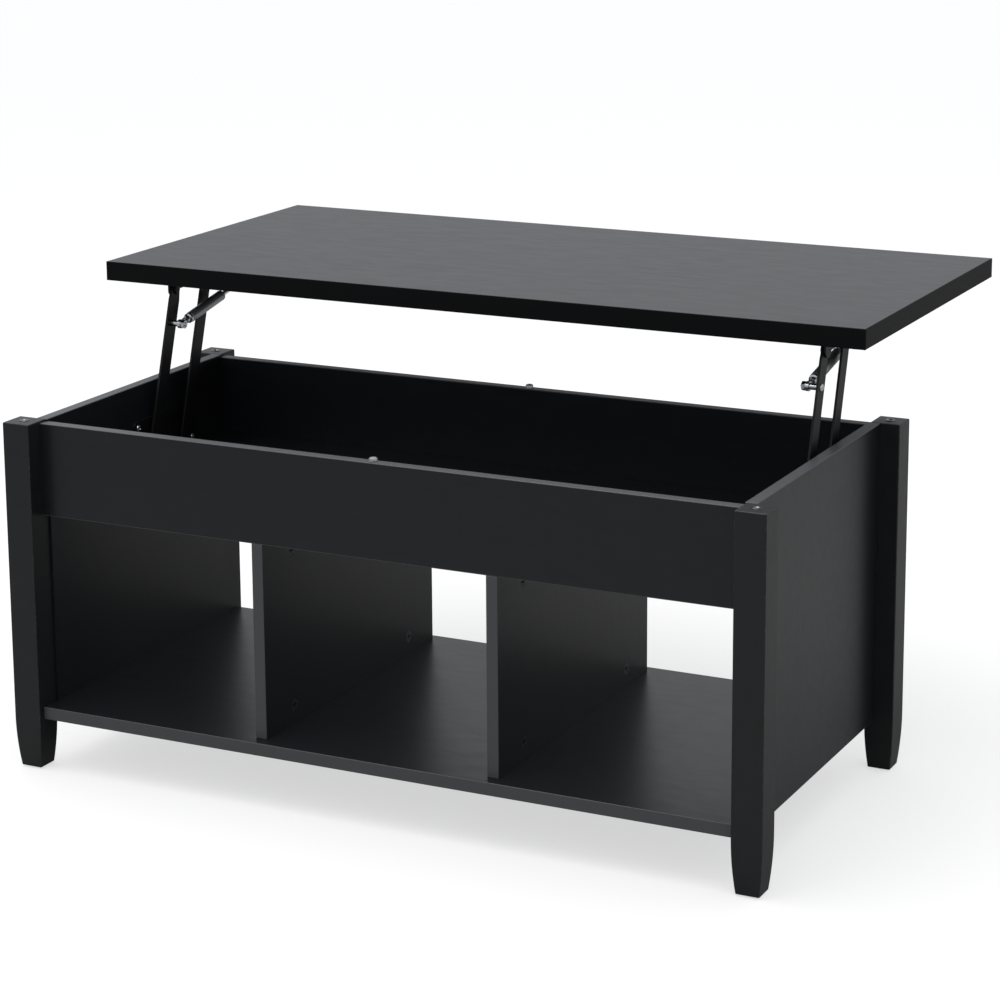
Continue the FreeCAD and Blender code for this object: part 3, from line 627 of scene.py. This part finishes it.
refinish("cam_locks", make_cast_zinc())
refinish("cam_bolts", zinc_plate)
refinish("joint_dowels", make_beech())

# ---- Lid bumpers -------------------------------------------------------------
# Two clear soft pads, one stuck to the middle of each apron's top edge, that the closed top lands on.
# They are cast with a domed top, and a little dust clings to them.


def make_clear_silicone():
    pad = principled("clear_silicone", {"Transmission Weight": 0.75, "IOR": 1.41})
    dust = pad.noise((0.8, 0.8, 0.8), detail=4)
    pad.feed("Base Color", pad.colour(dust, (0.86, 0.88, 0.87), (0.74, 0.76, 0.75)))
    pad.feed("Roughness", 0.18 + dust * 0.25)
    pad.feed("Normal", pad.bump(dust, 0.03, 0.4))
    return pad.holder


low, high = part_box("lid_bumpers")
bumper_outline = [(0, 0), (0, 4.7), (0.4, 5), (3, 5), (3.9, 4.75), (4.6, 4.1), (5, 3.1), (5.2, 1.6), (5.2, 0)]
BUMPER_RADIUS = 5 * MM
bumpers = gathered([placed(turned(bumper_outline, steps=32), Matrix.Translation((0, y, low.z)))
                    for y in (low.y + BUMPER_RADIUS, high.y - BUMPER_RADIUS)])
make_piece("clear_lid_bumpers", bumpers, "base", make_clear_silicone(), ["lid_bumpers"])

# ---- Base brackets -----------------------------------------------------------
# A pressed steel plate on each side panel carries the lower pivots of both arms and the stop peg.
# It is blanked with rounded corners, powder coated black, and held by four screws.


def make_powder_coat():
    """Satin black powder: orange peel from the oven, and lighter, metallic patches on the rounded edges,
    partly scuffs and partly a painted highlight.
    """
    coat = principled("powder_coat", {"Specular IOR Level": 0.22})
    peel = coat.noise((0.9, 0.9, 0.9), detail=1)
    fine = coat.noise((0.25, 0.25, 0.25), detail=1)
    cloud = coat.noise((20, 20, 20), detail=3)
    # Lighter metal on the rounded edges in patches: partly scuffs where they rub, and partly a painted
    # highlight.
    scuffs_and_edge_highlight = coat.arris() * coat.between(coat.noise((2.2, 2.2, 2.2), detail=4), 0.6, 0.72)
    coat.feed("Base Color", coat.colour(scuffs_and_edge_highlight, (0.0052, 0.0053, 0.0056), (0.11, 0.11, 0.11)))
    coat.feed("Roughness", 0.3 + peel * 0.08 + cloud * 0.12)
    coat.feed("Metallic", scuffs_and_edge_highlight * 0.8)
    coat.feed("Normal", coat.bump(peel * 0.8 + fine * 0.3, 0.035, 0.5))
    return coat.holder


PLATE_ARRIS = 0.3 * MM
BEND_RADIUS = 2.2 * MM
PRESSED_FLAT = 1.2 * MM * MM


def eased_blank(node, radius=PLATE_ARRIS, bend=None):
    """The shape that a pressed part is designed with, with its sheared edges eased, and its bend rounded."""
    shape = bmesh.new()
    shape.from_mesh(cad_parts[node].data)
    for layer in list(shape.loops.layers.uv.values()):
        shape.loops.layers.uv.remove(layer)
    bmesh.ops.remove_doubles(shape, verts=shape.verts, dist=SAME_PLACE)
    bmesh.ops.dissolve_limit(shape, angle_limit=math.radians(1), verts=shape.verts, edges=shape.edges)
    if bend:
        along_bend = [edge for edge in shape.edges if is_sharp(edge) and bend(edge)]
        ease(shape, along_bend, BEND_RADIUS, 5)
    ease(shape, [edge for edge in shape.edges if is_sharp(edge)], radius, 2)
    mark_arris(shape, PRESSED_FLAT)
    return shape


powder_coat = make_powder_coat()
for side_name, _ in SIDES:
    node = "base_bracket_" + side_name
    make_piece(node + "_plate", eased_blank(node), "base", powder_coat, [node])

# ---- Screws of the base brackets ---------------------------------------------
# Zinc-plated pan-head screws with a cross recess fix each bracket to its side panel.
# The heads are rolled and the recess is punched, and each screw stops at its own angle.
SCREW_HEAD_RADIUS = 4.2 * MM
SCREW_STEPS = 32
BRACKET_SCREW_INSET = 9 * MM
RECESS_REACH = 2.3 * MM
RECESS_HALF = 0.45 * MM
RECESS_FLOOR = 0.75 * MM
RECESS_TAPER = 0.45
screw_outline = [(-13, 0), (-10.5, 1.2), (-10.2, 1.9), (-0.1, 2), (-0.1, 2.3), (0, 4.0), (0.25, 4.2),
                 (0.7, 4.1), (1.2, 3.7), (1.55, 3.0), (1.75, 2.0), (1.8, 1.0), (1.8, 0)]


def cross_screw(turn):
    """A pan-head screw on the Z axis, its head up, with its recess turned by the given angle."""
    bars = []
    half = Vector((RECESS_REACH, RECESS_HALF))
    for quarter in (0, math.pi / 2):
        bar = extruded(rectangle(-half, half), RECESS_FLOOR, 3 * MM)
        for vert in bar.verts:
            if vert.co.z < 1 * MM:
                vert.co.x *= RECESS_TAPER
        bars.append(placed(bar, Matrix.Rotation(turn + quarter, 4, "Z")))
    recess = combined(bars[0], bars[1], "UNION")
    return combined(turned(screw_outline, steps=SCREW_STEPS), recess, "DIFFERENCE")


screws = []
for side_name, side in SIDES:
    low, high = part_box("base_bracket_" + side_name)
    face_x = side * min(abs(low.x), abs(high.x))
    for i, y in enumerate((low.y + BRACKET_SCREW_INSET, high.y - BRACKET_SCREW_INSET)):
        for j, z in enumerate((low.z + BRACKET_SCREW_INSET, high.z - BRACKET_SCREW_INSET)):
            turn = 0.5 + 1.3 * i + 0.7 * j + 0.4 * side
            screws.append(placed(cross_screw(turn), pointing((face_x, y, z), (-side, 0, 0))))
make_piece("base_bracket_cross_screws", gathered(screws), "base", zinc_plate,
           ["base_bracket_screws"])

# ---- Pivot rivets, spacers, washers and stop pegs ----------------------------
# Each arm turns on a shouldered steel rivet with a domed head, and a plated spacer or washer keeps it off
# the plate. A short peg on each base bracket stops the rear arm when the top is up.
RUNNING_GAP = 0.3 * MM
RIVET_RADIUS = 4.0
SPACER_RADIUS = 6.5
PIVOT_WASHER_RADIUS = 7.5
arm_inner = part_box("front_arm_right")[0].x
arm_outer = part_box("front_arm_right")[1].x


def pivot_places(pins):
    """(y, z) of the front and rear pivot, from the box of their four rivets."""
    low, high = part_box(pins)
    radius = (high.z - low.z) / 2
    z = (low.z + high.z) / 2
    return [(low.y + radius, z), (high.y - radius, z)]


def shifted(outline, start):
    """An outline whose heights are measured from the given start."""
    return [(start + height, radius) for height, radius in outline]


def rivet(length):
    """A rivet that stands on its flush end, with its domed head up and the punch mark in the dome."""
    shank = [(0, 0), (0, 3.8), (0.2, RIVET_RADIUS), (length, RIVET_RADIUS)]
    head = [(0, 6.8), (0.2, 7), (0.5, 7), (0.9, 6.85), (1.4, 6.3), (1.85, 5.3), (2.15, 4), (2.3, 2.4),
            (2.3, 1.3), (1.9, 0.8), (1.8, 0)]
    return turned(shank + shifted(head, length))


def collar(inner_x, outer_x, outer, inner):
    """A ring between two X stations, with its corners eased, standing on the Z axis."""
    length = (outer_x - inner_x) / MM
    ease_by = min(0.3, length / 4)
    return turned([(0, inner), (0, outer - ease_by), (ease_by, outer), (length - ease_by, outer),
                   (length, outer - ease_by), (length, inner)], closed=True)


def on_both_sides(make_shape, spots, x, outward):
    """Copies of a turned part at each (y, z) spot on both sides, all pointing outwards or all inwards."""
    shapes = []
    for _, side in SIDES:
        direction = (side if outward else -side, 0, 0)
        shapes += [placed(make_shape(), pointing((side * x, y, z), direction)) for y, z in spots]
    return gathered(shapes)


rivet_face = arm_inner - RUNNING_GAP
for pins, body in (("base_pivot_pins", "base"), ("top_pivot_pins", "top")):
    spots = pivot_places(pins)
    flush_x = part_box(pins)[1].x
    rivets = on_both_sides(lambda: rivet((flush_x - rivet_face) / MM), spots, flush_x, False)
    make_piece(pins[:-4] + "rivets", rivets, body, powder_coat, [pins])
for node, body, pins, radius in (("base_pivot_spacers", "base", "base_pivot_pins", SPACER_RADIUS),
                                 ("top_pivot_washers", "top", "top_pivot_pins", PIVOT_WASHER_RADIUS)):
    start_x = arm_outer + RUNNING_GAP
    stop_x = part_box(node)[1].x
    rings = on_both_sides(lambda: collar(start_x, stop_x, radius, RIVET_RADIUS), pivot_places(pins), start_x,
                          True)
    make_piece(node + "_turned", rings, body, zinc_plate, [node])
peg_flush_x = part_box("arm_stop_pegs")[1].x
peg_length = (peg_flush_x - arm_inner) / MM
peg_middle = middle_of("arm_stop_pegs")
peg_outline = [(0, 0), (0, 4), (peg_length - 0.6, 4), (peg_length - 0.15, 3.8), (peg_length, 3.3),
               (peg_length, 0)]
pegs = on_both_sides(lambda: turned(peg_outline), [(peg_middle.y, peg_middle.z)], peg_flush_x, False)
make_piece("arm_stop_studs", pegs, "base", powder_coat, ["arm_stop_pegs"])

# ---- Lifting arms ------------------------------------------------------------
# Four flat steel bars with rounded ends, blanked from 3 mm strip and powder coated, lift the top in parallel.
# Each front arm is drilled a little below its upper pivot for the bolt of the gas strut.
for side_name, _ in SIDES:
    for which in ("front_arm_", "rear_arm_"):
        node = which + side_name
        make_piece(node + "_bar", eased_blank(node), node, powder_coat, [node])

# ---- Strut bolts, sleeves, washers and nuts ----------------------------------
# A round-head bolt through each front arm carries the tube's eye, and a second one carries the rod's eye.
# Both are plated: a rolled head, a rolled thread at the tail, a washer and a hexagon nut inboard of the eye.
BOLT_HEAD = 2.5
BOLT_TAIL = 1.2
BOLT_BORE = 3.05
SLEEVE_RADIUS = 4.0
NUT_HEIGHT = 4.5
NUT_FLATS = 10.0
NUT_STEPS = 72
washer_outline = [(0, BOLT_BORE), (0, 5.45), (0.15, 5.6), (0.65, 5.6), (0.8, 5.45), (0.8, BOLT_BORE)]


def round_head_bolt(length):
    """A bolt on the Z axis: its threaded tail is down, and its head starts at the given length."""
    tail = [(0, 0), (0, 2.3), (0.4, 2.7)]
    rolled = list(reversed(thread(8.4, 8.0, 0.8, 3.0, 2.72)))
    head = [(0, 3), (0, 4.7), (0.25, 5), (0.6, 4.95), (1.2, 4.5), (1.8, 3.7), (2.25, 2.6), (2.45, 1.5),
            (BOLT_HEAD, 0)]
    return turned(tail + rolled + [(9, 3)] + shifted(head, length))


def hexagon_nut():
    """A nut on the Z axis: six flats, the curved chamfers of a turned blank, and its bore."""
    flat = NUT_FLATS / 2
    chamfer_radius = flat * 0.97
    rings = [[] for _ in range(6)]
    for i in range(NUT_STEPS):
        angle = 2 * math.pi * i / NUT_STEPS
        to_flat = (angle + math.pi / 6) % (math.pi / 3) - math.pi / 6
        hexagon = flat / math.cos(to_flat)
        shoulder = min(hexagon, chamfer_radius)
        drop = max(0.0, hexagon - chamfer_radius) * math.tan(math.radians(30))
        section = [(BOLT_BORE, 0), (shoulder, 0), (hexagon, drop), (hexagon, NUT_HEIGHT - drop),
                   (shoulder, NUT_HEIGHT), (BOLT_BORE, NUT_HEIGHT)]
        for ring, (radius, height) in zip(rings, section):
            ring.append((radius * MM * math.cos(angle), radius * MM * math.sin(angle), height * MM))
    shape = bmesh.new()
    loops = [[shape.verts.new(point) for point in ring] for ring in rings]
    for lower, upper in zip(loops, loops[1:] + loops[:1]):
        for i in range(NUT_STEPS):
            j = (i + 1) % NUT_STEPS
            shape.faces.new((lower[i], lower[j], upper[j], upper[i]))
    bmesh.ops.recalc_face_normals(shape, faces=shape.faces)
    return shape


def nut_and_washer():
    """The nut on the Z axis with its washer above it."""
    washer = placed(turned(washer_outline, closed=True), Matrix.Translation((0, 0, NUT_HEIGHT * MM)))
    return gathered([hexagon_nut(), washer])


for side_name, side in SIDES:
    for which, body in (("arm_bolt_", "front_arm_"), ("rod_bolt_", "strut_rod_")):
        node = which + side_name
        low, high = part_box(node)
        tail = middle_of(node)
        tail.x = side * min(abs(low.x), abs(high.x))
        length = abs(high.x - low.x) / MM - BOLT_HEAD
        bolt = placed(round_head_bolt(length), pointing(tail, (side, 0, 0)))
        make_piece(node + "_round_head", bolt, body + side_name, zinc_plate, [node])
        node = which + "nut_" + side_name
        tail.x += side * BOLT_TAIL * MM
        nut = placed(nut_and_washer(), pointing(tail, (side, 0, 0)))
        make_piece(node + "_hex", nut, body + side_name, zinc_plate, [node])
    node = "arm_bolt_sleeve_" + side_name
    inner_x, outer_x = sorted(abs(corner.x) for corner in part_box(node))
    start = middle_of(node)
    start.x = side * inner_x
    sleeve = placed(collar(inner_x, outer_x, SLEEVE_RADIUS, BOLT_BORE), pointing(start, (side, 0, 0)))
    make_piece(node + "_turned", sleeve, "front_arm_" + side_name, zinc_plate, [node])

# ---- Gas struts --------------------------------------------------------------
# A short gas spring on each side balances the top: a painted tube, a sealed gland and a chromed rod.
# The tube ends in a plated collar with an eye, and the rod in a moulded eye. Both eyes are flat rings.


def make_strut_paint():
    paint = principled("strut_paint", {"Specular IOR Level": 0.5, "Metallic": 0.75})
    cloud = paint.noise((7, 7, 7), detail=3)
    mist = paint.noise((0.3, 0.3, 0.3), detail=1)
    paint.feed("Base Color", paint.colour(cloud, (0.3, 0.305, 0.312), (0.4, 0.405, 0.412)))
    paint.feed("Roughness", 0.3 + cloud * 0.1 + mist * 0.05)
    paint.feed("Normal", paint.bump(mist, 0.015, 0.5))
    return paint.holder


def make_chrome_rod():
    chrome = principled("chrome_rod", {"Metallic": 1.0})
    oil = chrome.noise((2, 2, 2), detail=3)
    polish = chrome.noise((0.15, 0.15, 0.15), detail=1)
    chrome.feed("Base Color", chrome.colour(oil, (0.78, 0.78, 0.79), (0.68, 0.68, 0.7)))
    chrome.feed("Roughness", 0.06 + oil * 0.1)
    chrome.feed("Normal", chrome.bump(polish, 0.003, 0.4))
    return chrome.holder


TUBE_START = 23.0
TUBE_END = 104.0
ROD_SOCKET = 14.0
ROD_RADIUS = 3.0
PISTON_SETBACK = 7.0
CAP_ARRIS = 0.25 * MM
EYE_ARRIS = 0.3 * MM
strut_paint = make_strut_paint()
chrome_rod = make_chrome_rod()
tube_foot = [(0, 5.8), (0, 6.2), (0.3, 6.7), (0.8, 7), (4, 7), (4.4, 6.8), (5.0, 6.7), (5.6, 6.8), (6, 7)]
tube_mouth = [(-8, 7), (-7.5, 6.75), (-6.8, 6.65), (-6.1, 6.75), (-5.6, 7), (-1.5, 7), (-0.7, 6.75),
              (-0.15, 6.1), (0, 5.4), (0, 4), (-2, 4), (-2, 5.8)]
gland_section = [(-6, 3.3), (-6, 5.75), (-2.05, 5.75), (-2.05, 3.95), (0.3, 3.95), (0.6, 3.7), (0.6, 3.3)]


tube_outline = shifted(tube_foot, TUBE_START) + shifted(tube_mouth, TUBE_END)
gland_outline = shifted(gland_section, TUBE_END)


def along_strut(side_name):
    """The matrix that lays a turned part along a strut, from the arm's bolt to the rod's, and that length."""
    start = middle_of("arm_bolt_sleeve_" + side_name)
    finish = middle_of("rod_bolt_nut_" + side_name)
    start.x = finish.x = middle_of("strut_tube_" + side_name).x
    return pointing(start, finish - start), (finish - start).length / MM


for side_name, _ in SIDES:
    matrix, length = along_strut(side_name)
    tube_body = "strut_tube_" + side_name
    rod_body = "strut_rod_" + side_name
    piston_end = TUBE_END - PISTON_SETBACK
    rod_end = length - ROD_SOCKET
    piston_section = [(-4, 0), (-4, 5.2), (-3.7, 5.5), (-0.3, 5.5), (0, 5.2), (0, ROD_RADIUS)]
    rod_tip = [(-0.3, ROD_RADIUS), (0, 2.7), (0, 0)]
    rod_outline = shifted(piston_section, piston_end) + shifted(rod_tip, rod_end)
    tube = placed(turned(tube_outline, closed=True), matrix)
    make_piece(tube_body + "_body", tube, tube_body, strut_paint, [tube_body])
    node = "strut_gland_" + side_name
    gland = placed(turned(gland_outline, closed=True), matrix)
    make_piece(node + "_seal", gland, tube_body, black_plastic, [node])
    node = "strut_end_cap_" + side_name
    make_piece(node + "_eye", eased_blank(node, CAP_ARRIS), tube_body, zinc_plate, [node])
    rod = placed(turned(rod_outline), matrix)
    make_piece(rod_body + "_chromed", rod, rod_body, chrome_rod, [rod_body])
    node = "strut_rod_eye_" + side_name
    eye = eased_blank(node, EYE_ARRIS)
    make_piece(node + "_moulded", eye, rod_body, black_plastic, [node])

# ---- Top brackets ------------------------------------------------------------
# A folded steel angle under each end of the top: its ledge is screwed up into the board,
# and three ears hang from its upright for the two arm rivets and the strut's rear bolt.
FOLD_REACH = 0.01 * MM
for side_name, _ in SIDES:
    node = "top_bracket_" + side_name
    low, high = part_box(node)
    fold_x = max(low.x, high.x, key=abs)

    def on_fold(edge):
        """True for the outer corner between the ledge and the upright."""
        return all(abs(vert.co.x - fold_x) < FOLD_REACH and abs(vert.co.z - high.z) < FOLD_REACH
                   for vert in edge.verts)

    angle = eased_blank(node, bend=on_fold)
    make_piece(node + "_angle", angle, "top", powder_coat, [node])

# ---- Screws of the top brackets ----------------------------------------------
# The same plated pan-head screws, driven up through each ledge into the underside of the top.
LEDGE_THICK = 2.5 * MM
TOP_SCREW_SPACES = (0, 82 * MM, 132 * MM, 177 * MM)
low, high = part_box("top_bracket_screws")
ledge_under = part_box("top_bracket_left")[1].z - LEDGE_THICK
screws = []
for _, side in SIDES:
    x = side * (high.x - SCREW_HEAD_RADIUS)
    for i, space in enumerate(TOP_SCREW_SPACES):
        spot = (x, low.y + SCREW_HEAD_RADIUS + space, ledge_under)
        screws.append(placed(cross_screw(0.3 + 0.9 * i + side), pointing(spot, (0, 0, -1))))
make_piece("top_bracket_cross_screws", gathered(screws), "top", zinc_plate,
           ["top_bracket_screws"])

# ---- Tabletop ----------------------------------------------------------------
# A 25 mm board with the same black skin on both faces, and a 1 mm edge band round all four edges.
# The two short bands are laid first and the long ones run over their ends, so the seams show on the ends.
low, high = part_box("tabletop")
core_low = low + Vector((BAND, BAND, 0))
core_high = high - Vector((BAND, BAND, 0))
top_core = core(rectangle(core_low, core_high), low.z, high.z)
make_piece("tabletop_board", top_core, "top", black_laminate, ["tabletop"])
top_bands = [long_band(low, high, end) for _, end in ENDS]
for _, side in SIDES:
    outer = low.x if side < 0 else high.x
    strip = [(outer, core_low.y), (outer - side * BAND, core_low.y), (outer - side * BAND, core_high.y),
             (outer, core_high.y)]
    top_bands.append(edge_band(strip, low.z, high.z, 0, outer))
# The tabletop's edging is a darker copy of the same band, with its reflection almost turned off: painted
# shade.
top_edging = make_edge_band("edging_painted_shade", 0.08, (0.0032, 0.0034, 0.0038), (0.011, 0.0112, 0.0118))
make_piece("tabletop_edging", gathered(top_bands), "top", top_edging)

# ---- Studio: floor, light and camera -----------------------------------------
# A plain pale floor, lit a little from within where it is looked at, so that its shadows stay faint.
# Over it are an even white sky and one broad soft light, and then comes the camera.
FLOOR_RADIUS = 40.0
floor_shape = bmesh.new()
bmesh.ops.create_circle(floor_shape, cap_ends=True, segments=96, radius=FLOOR_RADIUS)
floor_mesh = bpy.data.meshes.new("studio_floor")
floor_shape.to_mesh(floor_mesh)
floor_shape.free()
floor = bpy.data.objects.new("studio_floor", floor_mesh)
bpy.context.scene.collection.objects.link(floor)
pale = principled("pale_floor", {"Specular IOR Level": 0.1, "Base Color": (0.345, 0.337, 0.33, 1),
                                 "Emission Strength": 1.0})
pale.feed("Roughness", 0.8 + pale.noise((30, 30, 30)) * 0.1)
in_view = pale.node("ShaderNodeLightPath")
pale.feed("Emission Color", pale.colour(in_view, (0, 0, 0), (0.62, 0.621, 0.624)))
floor_mesh.materials.append(pale.holder)

world = bpy.data.worlds.new("studio_sky")
bpy.context.scene.world = world
sky = Finish(world, "Background", {})
upwards = sky.node("ShaderNodeTexCoord", output="Generated")
height = sky.node("ShaderNodeSeparateXYZ", None, {0: upwards}, output="Z")
sky.feed("Color", (0.935, 0.968, 1.0, 1))
sky.feed("Strength", 0.55 + sky.between(height, 0.0, 1.0) * 0.75)


def soft_light(name, place, target, width, depth, power):
    light = bpy.data.lights.new(name, "AREA")
    light.shape = "RECTANGLE"
    light.size = width
    light.size_y = depth
    light.energy = power
    lamp = bpy.data.objects.new(name, light)
    lamp.matrix_world = pointing(place, Vector(place) - Vector(target))
    bpy.context.scene.collection.objects.link(lamp)


soft_light("overhead_softbox", (-0.6, -0.4, 3.2), (0, 0.1, 0.4), 3.0, 2.4, 60)

CAMERA_PLACE = (1.5866, -3.07944, 1.28711)
CAMERA_YAW = math.radians(26.34)
CAMERA_PITCH = math.radians(-12.23)
CAMERA_ROLL = math.radians(-0.37)
camera_data = bpy.data.cameras.new("camera")
camera_data.lens = 104.21
camera_data.sensor_width = 36.0
camera_data.shift_y = -0.15
camera_data.clip_end = 100
camera = bpy.data.objects.new("camera", camera_data)
level = Matrix.Rotation(CAMERA_YAW, 4, "Z") @ Matrix.Rotation(math.pi / 2 + CAMERA_PITCH, 4, "X")
camera.matrix_world = Matrix.Translation(CAMERA_PLACE) @ level @ Matrix.Rotation(CAMERA_ROLL, 4, "Z")
bpy.context.scene.collection.objects.link(camera)
bpy.context.scene.camera = camera
bpy.context.scene.view_settings.view_transform = "Standard"
